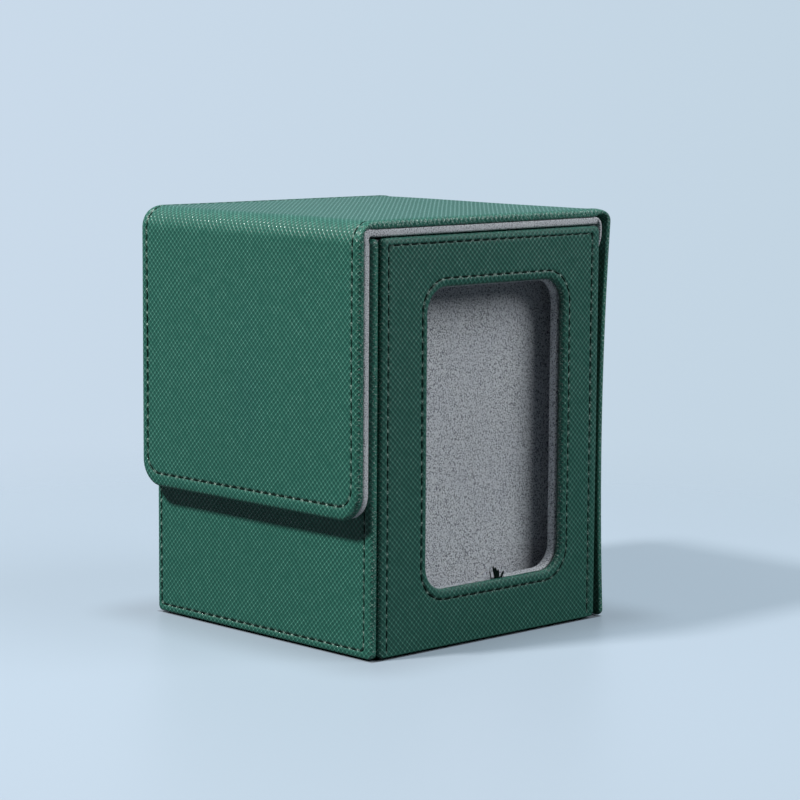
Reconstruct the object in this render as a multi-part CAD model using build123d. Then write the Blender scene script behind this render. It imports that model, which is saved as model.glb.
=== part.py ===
from build123d import *
import os

# Card storage box: wrapped board walls round a suede-lined card well, a display pocket behind a window,
# and a lid that wraps from the back panel over the top and down the front as a flap.
# Millimetres. +Z is up, -Y is the flap side, +X is the window side.
# The origin is on the table, under the middle of the closed box.

# Sheet materials, by thickness
leather = 0.5                # leatherette skin
fold_leather = 1.0           # leatherette turned double where it folds with no board in it
wall_board = 1.5             # stiff board in the walls, the base, the lid and the flap
back_board = 1.2             # thinner board in the wrap's back panel
wall_suede = 1.4             # suede-faced card on the walls and the base
lid_suede = 1.9              # padded suede under the lid and behind the flap
window_suede = 2.7           # thick suede frame behind the window
cloth_suede = 0.6            # bare suede cloth
partition_card = 1.2         # card inside the partition

# Body
front_width = 80.4           # front wall, lid, flap and back panel, across X
side_proud = 0.5             # side panels stand out past the ends of the front wall
wall_height = 100.0          # all four walls
side_run = 75.1              # side panels, front to back
corner_groove = 0.9          # open groove between the front wall and a side panel
rear_groove = 1.4            # open groove between a side panel and the back panel
wall_corner = 1.6            # corner radius of a wall's outline
edge_round = 0.9             # leather rolled over a panel's outer edge
lining_drop = 0.4            # lining's top edge below the wall's
pocket_depth = 4.6           # room behind the window for a card in a stiff holder
partition_drop = 2.5         # partition's top edge below the walls'

# Window
window_width = 47.0          # along Y
window_height = 73.3
window_corner = 6.2          # corner radius of the opening
window_shift = 1.0           # opening's middle behind the panel's middle
window_rise = 0.85           # opening's middle above the panel's middle
window_round = 0.7           # leather rolled over the opening's edge
suede_reveal = 0.4           # suede frame shows inside the leather's opening

# Lid and flap
lid_gap = 0.3                # lid lining above the walls
flap_gap = 0.6               # flap lining in front of the front wall
fold_radius = 5.5            # outside of the soft fold at the top front edge
hinge_radius = 5.0           # outside of the soft roll at the top back edge
lining_fold = 1.5            # padded suede's outside radius in the front fold
lining_turn = 2.5            # suede cloth's outside radius in the rear roll
lining_inset = 0.2           # lid and flap lining inside the leather's edges
flap_drop = 70.9             # lid's top to the flap's lower edge
flap_corner = 6.7            # round lower corners of the flap

# Magnets
magnet_radius = 5.0
magnet_thickness = 1.2
magnet_spacing = 48.0        # between the two discs, along X
magnet_rise = 12.0           # flap's lower edge to the discs' middle

# Levels and stations that follow from the sizes above
panel = leather + wall_board
back_panel = leather + back_board
partition = partition_card + 2 * cloth_suede
lid_under = wall_height + lid_gap
lid_back = lid_under + lid_suede
lid_top = lid_back + panel
flap_stack = flap_gap + lid_suede + panel
body_run = panel + corner_groove + side_run + rear_groove + back_panel
front_y = flap_stack - (flap_stack + body_run) / 2
front_back_y = front_y + panel
side_front_y = front_back_y + corner_groove
side_mid_y = side_front_y + side_run / 2
back_panel_y = side_front_y + side_run + rear_groove
back_y = back_panel_y + back_panel
back_wall_y = back_panel_y - cloth_suede
flap_face_y = front_y - flap_stack
flap_back_y = flap_face_y + panel
side_x = front_width / 2 + side_proud
inner_x = side_x - panel
well_front_y = front_back_y + wall_suede
well_back_y = back_wall_y - wall_board - wall_suede
well_run = well_back_y - well_front_y
well_mid_y = (well_front_y + well_back_y) / 2
floor_z = panel + wall_suede
left_x = -inner_x + wall_suede
window_back_x = inner_x - window_suede
pocket_x = window_back_x - pocket_depth
partition_x = pocket_x - partition
fold_y = flap_face_y + fold_radius
fold_z = lid_top - fold_radius
hinge_y = back_y - hinge_radius
hinge_z = lid_top - hinge_radius
turn_y = back_panel_y - lining_turn
turn_z = lid_back - lining_turn
flap_low_z = lid_top - flap_drop
magnet_z = flap_low_z + magnet_rise
lining_top = wall_height - lining_drop
lid_lining_width = front_width - 2 * lining_inset

# Planes on the hidden side of each panel: x to the right as seen from outside, y up, z outwards
front_plane = Plane((0, front_back_y, 0), x_dir=(1, 0, 0), z_dir=(0, -1, 0))
flap_plane = Plane((0, flap_back_y, 0), x_dir=(1, 0, 0), z_dir=(0, -1, 0))
left_plane = Plane((-inner_x, side_mid_y, 0), x_dir=(0, -1, 0), z_dir=(-1, 0, 0))
window_plane = Plane((inner_x, side_mid_y, 0), x_dir=(0, 1, 0), z_dir=(1, 0, 0))
back_plane = Plane((0, back_panel_y, 0), x_dir=(-1, 0, 0), z_dir=(0, 1, 0))
side_view = Plane.YZ


def upright(width, height, low_corner, high_corner=0.0):
    """Flat outline that stands on y = 0, with its own radius for the lower and the upper corners."""
    shape = Rectangle(width, height, align=(Align.CENTER, Align.MIN))
    shape = fillet(shape.vertices().group_by(Axis.Y)[0], low_corner)
    if high_corner > 0:
        shape = fillet(shape.vertices().group_by(Axis.Y)[-1], high_corner)
    return shape


def rolled_slab(shape, thickness, square_top=False):
    """Sheet of an outline, its outer edge rolled over; a square top runs on into a fold."""
    slab = extrude(shape, thickness)
    rim = slab.faces().sort_by(Axis.Z)[-1].edges()
    if square_top:
        rim = rim.sort_by(Axis.Y)[:-1]
    return fillet(rim, edge_round)


def block(x_span, y_span, z_span):
    """Flat sheet between two stations on each axis."""
    spans = (x_span, y_span, z_span)
    sizes = [high - low for low, high in spans]
    middle = [(low + high) / 2 for low, high in spans]
    return Pos(*middle) * Box(*sizes)


def across(profile, width):
    """Profile drawn in the side view and carried across the box, half to each side."""
    return extrude(side_view * profile, width / 2, both=True)


def quarter_ring(outside, thickness):
    """Quarter of a ring about its own centre, above it and behind it."""
    ring = Circle(outside) - Circle(outside - thickness)
    return ring & Rectangle(outside, outside, align=(Align.MIN, Align.MIN))


def rolled_strip(thickness):
    """Section across a leather strip, face up, with its two outer edges rolled over."""
    strip = Rectangle(front_width, thickness, align=(Align.CENTER, Align.MAX))
    roll = min(edge_round, 0.9 * thickness)
    return fillet(strip.vertices().group_by(Axis.Y)[-1], roll)


def soft_bend(outside, y, z, turn):
    """Doubled leather carried a quarter turn down from the lid's top, about a line across the box."""
    start = Plane((0, y, z + outside), x_dir=(1, 0, 0), z_dir=(0, -1, 0))
    return revolve(start * rolled_strip(fold_leather), Axis((0, y, z), (turn, 0, 0)), 90)


def magnet_pair(height, depth):
    """Two discs side by side in a panel's own plane, with their outer faces at a depth."""
    disc = Cylinder(magnet_radius, magnet_thickness, align=(Align.CENTER, Align.CENTER, Align.MAX))
    return [Pos(side * magnet_spacing / 2, height, depth) * disc for side in (-1, 1)]


nodes = {}

# Front wall: a board with two magnets, wrapped in leather and lined with suede card
front_slab = rolled_slab(upright(front_width, wall_height, wall_corner, wall_corner), panel)
front_inner = upright(front_width - 2 * leather, wall_height - 2 * leather, wall_corner - leather,
                      wall_corner - leather)
front_core = Pos(0, leather, 0) * extrude(front_inner, wall_board)
front_discs = magnet_pair(magnet_z, wall_board)
nodes["front_cover"] = front_plane * (front_slab - front_core)
nodes["front_board"] = front_plane * (front_core - front_discs)
nodes["front_magnets"] = front_plane * Compound(front_discs)
nodes["front_lining"] = block((-inner_x, inner_x), (front_back_y, well_front_y), (panel, lining_top))

# Side walls: the same wrapped board on the left, and a frame with a window on the right
side_slab = rolled_slab(upright(side_run, wall_height, wall_corner, wall_corner), panel)
side_inner = upright(side_run - 2 * leather, wall_height - 2 * leather, wall_corner - leather,
                     wall_corner - leather)
side_core = Pos(0, leather, 0) * extrude(side_inner, wall_board)
nodes["left_cover"] = left_plane * (side_slab - side_core)
nodes["left_board"] = left_plane * side_core
nodes["left_lining"] = block((-inner_x, left_x), (well_front_y, well_back_y), (panel, lining_top))

# Window wall: the leather turns in through the opening and covers the board's cut edge
window_middle = Pos(window_shift, wall_height / 2 + window_rise, 0)
window_hole = window_middle * RectangleRounded(window_width, window_height, window_corner)
board_hole = window_middle * RectangleRounded(window_width + 2 * leather, window_height + 2 * leather,
                                              window_corner + leather)
suede_hole = window_middle * RectangleRounded(window_width - 2 * suede_reveal,
                                              window_height - 2 * suede_reveal,
                                              window_corner - suede_reveal)
window_core = side_core - extrude(board_hole, wall_board)
window_slab = side_slab - extrude(window_hole, panel)
window_rim = window_slab.faces().sort_by(Axis.Z)[-1].inner_wires()[0].edges()
window_slab = fillet(window_rim, window_round)
nodes["window_cover"] = window_plane * (window_slab - window_core)
nodes["window_board"] = window_plane * window_core
window_frame = block((window_back_x, inner_x), (well_front_y, well_back_y), (panel, lining_top))
nodes["window_lining"] = window_frame - window_plane * extrude(suede_hole, -window_suede)

# Back wall between the side panels, behind the wrap's own back panel
nodes["back_wall_board"] = block((-inner_x, inner_x), (back_wall_y - wall_board, back_wall_y),
                                 (panel, turn_z))
nodes["back_wall_lining"] = block((-inner_x, inner_x), (well_back_y, well_back_y + wall_suede),
                                  (panel, lining_top))

# Base: leather underneath, board, and suede card as the floor of the well and of the pocket
base_run = (front_back_y, back_wall_y)
nodes["base_cover"] = block((-inner_x, inner_x), base_run, (0, leather))
nodes["base_board"] = block((-inner_x, inner_x), base_run, (leather, panel))
nodes["base_lining"] = block((left_x, window_back_x), (well_front_y, well_back_y), (panel, floor_z))

# Partition: a card that stands on the floor, with suede over both faces and its top edge
partition_top = wall_height - partition_drop
partition_run = (well_front_y, well_back_y)
partition_slab = block((partition_x, pocket_x), partition_run, (floor_z, partition_top))
partition_core = block((partition_x + cloth_suede, pocket_x - cloth_suede), partition_run,
                       (floor_z, partition_top - cloth_suede))
partition_edge = partition_slab.edges().filter_by(Axis.Y).group_by(Axis.Z)[-1]
nodes["partition_board"] = partition_core
nodes["partition_lining"] = fillet(partition_edge, cloth_suede) - partition_core

# Back panel of the wrap, glued to the back wall through the suede cloth
back_slab = rolled_slab(upright(front_width, hinge_z, wall_corner), back_panel, square_top=True)
back_inner = upright(front_width - 2 * leather, hinge_z - leather, wall_corner - leather)
back_core = Pos(0, leather, 0) * extrude(back_inner, back_board)
nodes["back_panel_cover"] = back_plane * (back_slab - back_core)
nodes["back_panel_board"] = back_plane * back_core
nodes["back_panel_lining"] = block((-inner_x, inner_x), (back_wall_y, back_panel_y), (leather, turn_z))

# Soft roll at the top back edge: leather outside, suede cloth inside
turn_ring = Pos(turn_y, turn_z) * quarter_ring(lining_turn, cloth_suede)
nodes["rear_hinge_leather"] = soft_bend(hinge_radius, hinge_y, hinge_z, -1)
nodes["rear_hinge_lining"] = across(turn_ring, 2 * inner_x)

# Lid: leather over the top and both sides of a board, padded suede underneath
lid_section = Plane((0, hinge_y, lid_top), x_dir=(1, 0, 0), z_dir=(0, -1, 0))
lid_slab = extrude(lid_section * rolled_strip(panel), hinge_y - fold_y)
lid_core = block((leather - front_width / 2, front_width / 2 - leather), (fold_y, hinge_y),
                 (lid_back, lid_back + wall_board))
nodes["lid_cover"] = lid_slab - lid_core
nodes["lid_board"] = lid_core
nodes["lid_lining"] = block((-lid_lining_width / 2, lid_lining_width / 2), (fold_y, turn_y),
                            (lid_under, lid_back))

# Soft fold at the top front edge: leather outside, a tight corner of padded suede inside
nodes["front_fold_leather"] = soft_bend(fold_radius, fold_y, fold_z, 1)
fold_corner = Polygon((fold_y, lid_under), (front_y - flap_gap, lid_under), (front_y - flap_gap, fold_z),
                      (flap_back_y, fold_z), (flap_back_y, lid_back), (fold_y, lid_back), align=None)
fold_tip = fold_corner.vertices().sort_by(Axis.Y)[-2:].sort_by(Axis.X)[0]
fold_corner = fillet(fold_tip, lining_fold)
nodes["front_fold_lining"] = across(fold_corner, lid_lining_width)

# Flap: a board with two magnets and round lower corners, wrapped in leather and lined
flap_height = fold_z - flap_low_z
flap_slab = rolled_slab(upright(front_width, flap_height, flap_corner), panel, square_top=True)
flap_inner = upright(front_width - 2 * leather, flap_height - leather, flap_corner - leather)
flap_core = Pos(0, leather, 0) * extrude(flap_inner, wall_board)
flap_discs = magnet_pair(magnet_rise, magnet_thickness)
flap_low = Pos(0, flap_low_z, 0)
nodes["flap_cover"] = flap_plane * (flap_low * (flap_slab - flap_core))
nodes["flap_board"] = flap_plane * (flap_low * (flap_core - flap_discs))
nodes["flap_magnets"] = flap_plane * (flap_low * Compound(flap_discs))
flap_pad = upright(lid_lining_width, flap_height - lining_inset, flap_corner - lining_inset)
nodes["flap_lining"] = flap_plane * (Pos(0, flap_low_z + lining_inset, 0) * extrude(flap_pad, -lid_suede))

os.makedirs("parts", exist_ok=True)
for name, solid in nodes.items():
    solid.label = name
    export_step(solid, f"parts/{name}.step")
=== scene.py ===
import bpy
import numpy as np
from mathutils import Matrix, Vector


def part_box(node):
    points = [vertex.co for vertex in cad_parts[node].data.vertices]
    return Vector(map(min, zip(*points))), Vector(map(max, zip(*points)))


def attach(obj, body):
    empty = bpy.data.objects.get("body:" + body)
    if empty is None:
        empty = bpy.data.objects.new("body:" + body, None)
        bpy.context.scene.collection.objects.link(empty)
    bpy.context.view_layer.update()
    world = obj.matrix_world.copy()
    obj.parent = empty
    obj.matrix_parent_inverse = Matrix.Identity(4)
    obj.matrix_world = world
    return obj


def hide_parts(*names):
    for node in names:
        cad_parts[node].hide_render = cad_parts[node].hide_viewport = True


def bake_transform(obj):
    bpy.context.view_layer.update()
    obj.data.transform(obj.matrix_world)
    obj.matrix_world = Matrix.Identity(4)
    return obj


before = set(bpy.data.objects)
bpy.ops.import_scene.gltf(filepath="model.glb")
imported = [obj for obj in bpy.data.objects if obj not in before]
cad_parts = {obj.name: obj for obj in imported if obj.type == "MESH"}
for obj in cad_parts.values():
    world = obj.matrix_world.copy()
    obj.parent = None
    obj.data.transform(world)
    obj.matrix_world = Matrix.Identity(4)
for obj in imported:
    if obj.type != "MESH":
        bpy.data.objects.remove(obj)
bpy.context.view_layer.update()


# Boards and magnets: grey pasteboard cut to each wall, the base, the lid and the flap, and plated steel
# discs let into two of them. All are glued inside the leather, so they keep the frame's own solids.
board_colour = (0.235, 0.220, 0.195, 1)
board_fibre = (0.330, 0.312, 0.280, 1)
fibre_fineness = 900.0     # cells of a noise in a metre, as every fineness below
plating_colour = (0.56, 0.57, 0.58, 1)
plating_rough = 0.15       # roughness of clean plating
scuff_rough = 0.25         # what a scuff adds to it
scuff_fineness = 700.0


def finish_of(name, **plain):
    """Material with one Principled shader; each plain socket is named with _ for a space."""
    made = bpy.data.materials.new(name)
    made.use_nodes = True
    shader = made.node_tree.nodes["Principled BSDF"]
    for socket, value in plain.items():
        shader.inputs[socket.replace("_", " ")].default_value = value
    return made, made.node_tree, shader


def wire(tree, kind, sockets, **fields):
    """Shader node with its fields set, and each input given a value or linked from another node's socket."""
    made = tree.nodes.new("ShaderNode" + kind)
    for field, value in fields.items():
        setattr(made, field, value)
    for socket, value in sockets.items():
        if isinstance(value, bpy.types.NodeSocket):
            tree.links.new(value, made.inputs[socket])
        else:
            made.inputs[socket].default_value = value
    return made


def feed(tree, node, **sources):
    """Links from other nodes' sockets to a node's inputs, each named with _ for a space."""
    for socket, source in sources.items():
        tree.links.new(source, node.inputs[socket.replace("_", " ")])


def place_in(tree):
    """Place in the box's own frame, in metres."""
    return wire(tree, "TexCoord", {}).outputs["Object"]


def noise(tree, place, fineness, detail, **more):
    """Outputs of a noise over a place, with its fineness and its octaves of detail."""
    return wire(tree, "TexNoise", {"Vector": place, "Scale": fineness, "Detail": detail, **more}).outputs


def figure(tree, operation, *values, clamp=False):
    """Math node on one to three values or sockets."""
    sockets = dict(enumerate(values))
    return wire(tree, "Math", sockets, operation=operation, use_clamp=clamp).outputs[0]


def tint(tree, factor, first, second):
    """Colour between two, by a factor from 0 to 1."""
    sockets = {0: factor, 6: first, 7: second}
    return wire(tree, "Mix", sockets, data_type="RGBA").outputs[2]


board, tree, shader = finish_of("pasteboard", Roughness=0.9)
fibre = noise(tree, place_in(tree), fibre_fineness, 4.0)["Fac"]
feed(tree, shader, Base_Color=tint(tree, fibre, board_colour, board_fibre))

plating, tree, shader = finish_of("plated_steel", Base_Color=plating_colour, Metallic=1.0)
scuff = noise(tree, place_in(tree), scuff_fineness, 3.0)["Fac"]
feed(tree, shader, Roughness=figure(tree, "MULTIPLY_ADD", scuff, scuff_rough, plating_rough))

for name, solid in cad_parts.items():
    solid.data.materials.clear()
    solid.data.materials.append(plating if name.endswith("magnets") else board)


# Front wall: embossed leatherette wrapped round a board, its edges turned over and glued down behind,
# then sewn all the way round with dark thread. It stands between the ends of the two side panels.
skin_roll = 0.9            # leather turned over a board's edge, in mm as every size below
skin_tuck = 0.35           # it goes nearly straight back from there
foot_roll = 0.4            # a wall's foot is pressed flatter than its other edges
wall_corner = 1.6
square_corner = 0.05       # least radius of a corner
turn_rows = 11             # mesh rows round an edge
arc_steps = 16             # mesh steps round a corner
step = 0.6                 # mesh spacing along an edge
stitch_pitch = 2.95        # one stitch and the gap after it
stitch_groove = 0.30       # thread pulled down into the leather
groove_width = 0.28
gap_rise = 0.02            # leather that stands up between two stitches
hole_power = 6             # a higher figure makes the needle holes shorter
hem_puff = 0.10            # leather between the stitching and the edge
seam_rows = (-0.75, -0.5, -0.3, -0.15, 0, 0.07, 0.15, 0.25, 0.5, 1)     # rim to seam, then seam to field
field_run = 3.2            # soft slope from the stitching to the flat field
field_corner = 0.6
leather_swell = 0.05       # faint unevenness of the glued leather
swell_start = 12.0         # distance from a panel's low edge in which it grows
front_margins = (1.7, 2.5, 1.85, 1.85)     # stitching to the left, right, lower and upper edge
front_seam_corner = 1.2
flat_channels = slice(3, 5)        # of a grid
edge_channel, seam_channel = 5, 6
weld = 0.0013              # cell in which points of one piece are joined
weld_shift = 0.37          # keeps whole measures away from the cells' borders
crease_angle = 60          # degrees


def reach(node):
    """Lowest and highest corner of a node at rest, in millimetres."""
    low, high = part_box(node)
    return np.array(low) * 1000, np.array(high) * 1000


def laid(node, ways):
    """Flat node as a panel: its box in its own plane, its thickness, and the function that lays points on it.
    The ways are the box's signed axes on which a, b and h run: along, up and out from the panel's face."""
    axes = ["xyz".index(way[1]) for way in ways]
    senses = np.array([1 if way[0] == "+" else -1 for way in ways])
    (left, low, back), (right, high, face) = np.sort(np.stack(reach(node))[:, axes] * senses, axis=0)

    def lay(a, b, h):
        return (np.stack([a, b, face + h], -1) * senses)[..., np.argsort(axes)]

    return (left, right, low, high), face - back, lay


def rounded_loop(box, corners, steps):
    """Rounded rectangle in a panel's own plane, anticlockwise from the middle of its lower left corner:
    each corner is a quarter circle of its own radius, and each side runs straight to the next."""
    left, right, low, high = box
    low_corner, high_corner = corners
    arc, across, up = steps
    turn = np.linspace(0, np.pi / 2, arc + 1)
    middles = ((left + low_corner, low + low_corner), (right - low_corner, low + low_corner),
               (right - high_corner, high - high_corner), (left + high_corner, high - high_corner))
    radii = (low_corner, low_corner, high_corner, high_corner)
    starts = (np.pi, 1.5 * np.pi, 0, 0.5 * np.pi)
    arcs = [np.stack([x + r * np.cos(start + turn), y + r * np.sin(start + turn)], 1)
            for (x, y), r, start in zip(middles, radii, starts)]
    sides = []
    for k, count in enumerate((across, up, across, up)):
        first, last = arcs[k][-1], arcs[(k + 1) % 4][0]
        along = np.linspace(0, 1, count + 1)[1:-1, None]
        sides += [arcs[k], first + (last - first) * along]
    loop = np.roll(np.concatenate(sides), -(arc // 2), axis=0)
    return np.vstack([loop, loop[:1]])


def spanned(loop, steps):
    """Grid stretched over a loop: each point is the blend of the two points across from it on either pair of
    sides, less the blend of the four corners."""
    arc, across, up = steps
    wide, tall = across + arc, up + arc
    low = loop[:wide + 1]
    right = loop[wide:wide + tall + 1]
    high = loop[wide + tall:2 * wide + tall + 1][::-1]
    left = loop[2 * wide + tall:][::-1]
    u = np.linspace(0, 1, wide + 1)[None, :, None]
    v = np.linspace(0, 1, tall + 1)[:, None, None]
    sides = (1 - v) * low[None] + v * high[None] + (1 - u) * left[:, None] + u * right[:, None]
    ends = (1 - v) * ((1 - u) * low[0] + u * low[-1]) + v * ((1 - u) * high[0] + u * high[-1])
    return sides - ends


def shrunk(box, by, low_by=None):
    """Box with its four sides brought in, the low one by its own amount where that is given."""
    return inside(box, (by, by, by if low_by is None else low_by, by))


def inside(box, margins):
    """Box brought in by a margin for each side."""
    left, right, low, high = box
    return left + margins[0], right - margins[1], low + margins[2], high - margins[3]


def grid_of(place, height, flat=None, edge=0, seam=0, hole=0):
    """Grid with eight channels: a, b and height, the place on the uncut sheet, edge, seam and hole. A plain
    number holds for every point, and the uncut sheet is like the laid one unless it is given."""
    blank = np.zeros(place.shape[:-1])
    traits = np.stack([height + blank, edge + blank, seam + blank, hole + blank], -1)
    return np.concatenate([place, traits[..., :1], place if flat is None else flat, traits[..., 1:]], -1)


def closed(rows, steps, depth, rise=None):
    """Grids of a closed panel: the rows round its edge, a face that spans the last row, level or with a rise
    of its own, and a back that spans the first row at the panel's depth."""
    face, back = spanned(rows[-1, :, :2], steps), spanned(rows[0, :, :2], steps)
    face = grid_of(face, rise(face[..., 0], face[..., 1]) if rise else 0)
    return [rows, face, grid_of(back, -depth(back[..., 1]))[:, ::-1]]


def even(thickness):
    """Thickness that is the same all over a panel."""
    return lambda b: np.full_like(b, thickness)


def run_along(path):
    """Way from a path's start to each of its points."""
    return np.concatenate([[0], np.cumsum(np.linalg.norm(np.diff(path, axis=0), axis=1))])


def seam_of(loop, steps, all_round):
    """Where the stitching runs on a loop: 1 on the sewn points, the count of stitches up to each, and the
    sewn path with its number of stitches. Without the low side it runs up, across and down again."""
    arc, across = steps[:2]
    first, last = 0, len(loop) - 1
    if not all_round:
        first, last = across + 3 * arc // 2, last - arc // 2
    path = loop[first:last + 1]
    run = run_along(path)
    count = max(1, round(run[-1] / stitch_pitch))
    sewn = np.zeros(len(loop))
    sewn[first:last + 1] = 1
    phase = np.zeros(len(loop))
    phase[first:last + 1] = run / run[-1] * count
    return sewn, phase, (path, count)


def swell(a, b):
    """Faint unevenness of glued leather: two crossed slow waves and a slanted one, which grow from nothing
    at the low edge."""
    waves = np.sin(0.11 * a + 0.7) * np.sin(0.083 * b + 1.1) + 0.6 * np.sin(0.05 * a - 0.13 * b + 0.4)
    return leather_swell * waves * np.tanh(b / swell_start) ** 2


def turned_rows(edge_at, seam, field, depth, sewn, phase, roll=skin_roll):
    """Rows of wrapped leather from behind a board's edge to the open field. Round the edge, inset and height
    follow a half circle; then rows run straight to the seam and on to the field. At the seam the height dips
    by a bell curve under each stitch, and rises a little at each needle hole."""
    rows = []
    hole = sewn * np.cos(np.pi * phase) ** hole_power
    for turn in np.linspace(-np.pi / 2, np.pi / 2, turn_rows):
        loop = edge_at((roll if turn > 0 else skin_tuck) * (1 - np.cos(turn)))
        flat = edge_at(roll - roll * (np.pi / 2 - turn))
        height = -depth(loop[:, 1]) * (1 - np.sin(turn)) / 2
        rows.append(grid_of(loop, height, flat, edge=np.cos(turn) ** 2))
    rim = edge_at(roll)
    for share in seam_rows:
        way = abs(share)
        slope = (rim if share < 0 else field) - seam
        loop = seam + slope * way
        bell = np.exp(-(way * np.linalg.norm(slope, axis=1) / groove_width) ** 2)
        puff = hem_puff * np.sin(np.pi * way) * sewn if share < 0 else 0
        ease = 1 - way if share < 0 else 1
        height = puff + ease * swell(*loop.T) - bell * sewn * (stitch_groove * (1 - hole) - gap_rise * hole)
        rows.append(grid_of(loop, height, seam=bell * sewn, hole=bell * hole))
    return np.stack(rows)


def wrapped_board(box, corners, margins, seam_corner, depth, all_round=True, open_low=False):
    """Grids of a whole wrapped panel, closed over its turned rows, and its sewn path. A panel that is open at
    its low side meets the next one there, with no edge and no slope."""
    left, right, low, high = box
    steps = arc_steps, round((right - left) / step), round((high - low) / step)

    def edge_at(inset):
        low_by = 0 if open_low else foot_roll * inset
        low_corner = corners[0] if open_low else max(corners[0] - inset, square_corner)
        soft = low_corner, max(corners[1] - inset, square_corner)
        return rounded_loop(shrunk(box, inset, low_by), soft, steps)

    seam_box = inside(box, margins)
    seam = rounded_loop(seam_box, (square_corner if open_low else seam_corner, seam_corner), steps)
    field_box = shrunk(seam_box, field_run, 0 if open_low else field_run)
    soft = square_corner if open_low else field_corner, max(seam_corner - field_run, field_corner)
    sewn, phase, sewn_path = seam_of(seam, steps, all_round)
    rows = turned_rows(edge_at, seam, rounded_loop(field_box, soft, steps), depth, sewn, phase)
    return closed(rows, steps, depth, swell), sewn_path


def skin(name, grids, lay, finish):
    """Mesh of grids of four-sided faces, laid on the box and welded where their borders meet. Its flat
    attribute holds the place on the uncut sheet, in metres, and its trim attribute edge, seam and hole."""
    points, traits, faces, start = [], [], [], 0
    for grid in grids:
        index = start + np.arange(np.prod(grid.shape[:-1])).reshape(grid.shape[:-1])
        corners = index[..., :-1, :-1], index[..., :-1, 1:], index[..., 1:, 1:], index[..., 1:, :-1]
        faces.append(np.stack(corners, -1).reshape(-1, 4))
        points.append(lay(grid[..., 0], grid[..., 1], grid[..., 2]).reshape(-1, 3))
        traits.append(grid[..., 3:].reshape(-1, 5))
        start += index.size
    points, traits, faces = np.concatenate(points), np.concatenate(traits), np.concatenate(faces)
    keys = np.floor(points / weld + weld_shift).astype(np.int64)
    first, inverse = np.unique(keys, axis=0, return_index=True, return_inverse=True)[1:]
    faces = inverse.reshape(-1)[faces]
    points, traits = points[first], traits[first]
    same = faces == np.roll(faces, -1, axis=1)
    pinched = same.sum(1) == 1
    thirds = faces[pinched][~same[pinched]].reshape(-1, 3)
    mesh = bpy.data.meshes.new(name)
    mesh.from_pydata((points / 1000).tolist(), [], faces[~same.any(1)].tolist() + thirds.tolist())
    mesh.polygons.foreach_set("use_smooth", np.ones(len(mesh.polygons), bool))
    mesh.set_sharp_from_angle(angle=np.radians(crease_angle))
    flat = np.column_stack([traits[:, :2] / 1000, np.zeros(len(traits))])
    for label, values in (("flat", flat), ("trim", traits[:, 2:])):
        made = mesh.attributes.new(label, "FLOAT_VECTOR", "POINT")
        made.data.foreach_set("vector", values.astype(np.float32).ravel())
    mesh.materials.append(finish)
    piece = bpy.data.objects.new(name, mesh)
    bpy.context.scene.collection.objects.link(piece)
    return piece


def dress(piece, slot, *nodes):
    """Piece of the box's own body that stands for some nodes, which are hidden. The slot is not used."""
    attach(piece, "box")
    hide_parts(*nodes)
    return piece


stitch_length = 2.75
stitch_radius = 0.17
stitch_flatness = 0.8      # its height to its width
stitch_sink = 0.10         # its middle below the leather
stitch_dive = 0.20         # further down at its ends
stitch_sway = 0.045        # radians off its line
stitch_spread = 0.05       # share of its length
stitch_sight = 0.4         # reach to either side over which a stitch's heading is taken
stitch_mesh = (8, 7)       # points along and round
chance = np.random.default_rng(11)


def stitches(path, count):
    """Grids of a row of stitches. Each is a short arched capsule: its radius falls off to both ends by a
    fourth power, and its middle line dives by a fourth power into the leather at the needle holes."""
    run = run_along(path)
    middle = (np.arange(count) + 0.5) * run[-1] / count
    behind, spot, ahead = [np.stack([np.interp(middle + way, run, line) for line in path.T], 1)
                           for way in (-stitch_sight, 0, stitch_sight)]
    heading = np.arctan2(*(ahead - behind).T[::-1]) + chance.normal(0, stitch_sway, count)
    long = np.stack([np.cos(heading), np.sin(heading)], 1)[:, None, None, :]
    wide = np.stack([-np.sin(heading), np.cos(heading)], 1)[:, None, None, :]
    u = np.linspace(-1, 1, stitch_mesh[0])[:, None]
    v = np.linspace(0, 2 * np.pi, stitch_mesh[1])[None, :]
    girth = stitch_radius * np.sqrt(np.maximum(1 - u ** 4, 0))
    size = chance.normal(1, stitch_spread, count)[:, None, None]
    along = 0.5 * stitch_length * u * size
    place = spot[:, None, None, :] + along[..., None] * long + (girth * np.cos(v))[..., None] * wide
    height = -stitch_sink - stitch_dive * u ** 4 + stitch_flatness * girth * np.sin(v)
    flat = np.stack(np.broadcast_arrays(along, v * stitch_radius), -1)
    return grid_of(place, height, flat, edge=chance.uniform(0, 1, count)[:, None, None])


def vector(tree, operation, *values):
    """Vector Math node on one or two vectors: its outputs."""
    return wire(tree, "VectorMath", dict(enumerate(values)), operation=operation).outputs


def parts_of(tree, whole):
    """Three values of a vector."""
    return wire(tree, "SeparateXYZ", {0: whole}).outputs


def held(tree, name):
    """Vector that a piece's mesh holds at each point."""
    return wire(tree, "Attribute", {}, attribute_name=name).outputs["Vector"]


def ramp(tree, value, first, last, low=0.0, high=1.0, **fields):
    """Value carried from one range to another, and held at its ends."""
    return wire(tree, "MapRange", {0: value, 1: first, 2: last, 3: low, 4: high}, **fields).outputs[0]


def group_of(name, inputs, outputs):
    """Empty shader group with its sockets, and its two end nodes."""
    made = bpy.data.node_groups.new(name, "ShaderNodeTree")
    for label, kind in inputs.items():
        made.interface.new_socket(label, in_out="INPUT", socket_type="NodeSocket" + kind)
    for label, kind in outputs.items():
        made.interface.new_socket(label, in_out="OUTPUT", socket_type="NodeSocket" + kind)
    return made, made.nodes.new("NodeGroupInput"), made.nodes.new("NodeGroupOutput")


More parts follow.
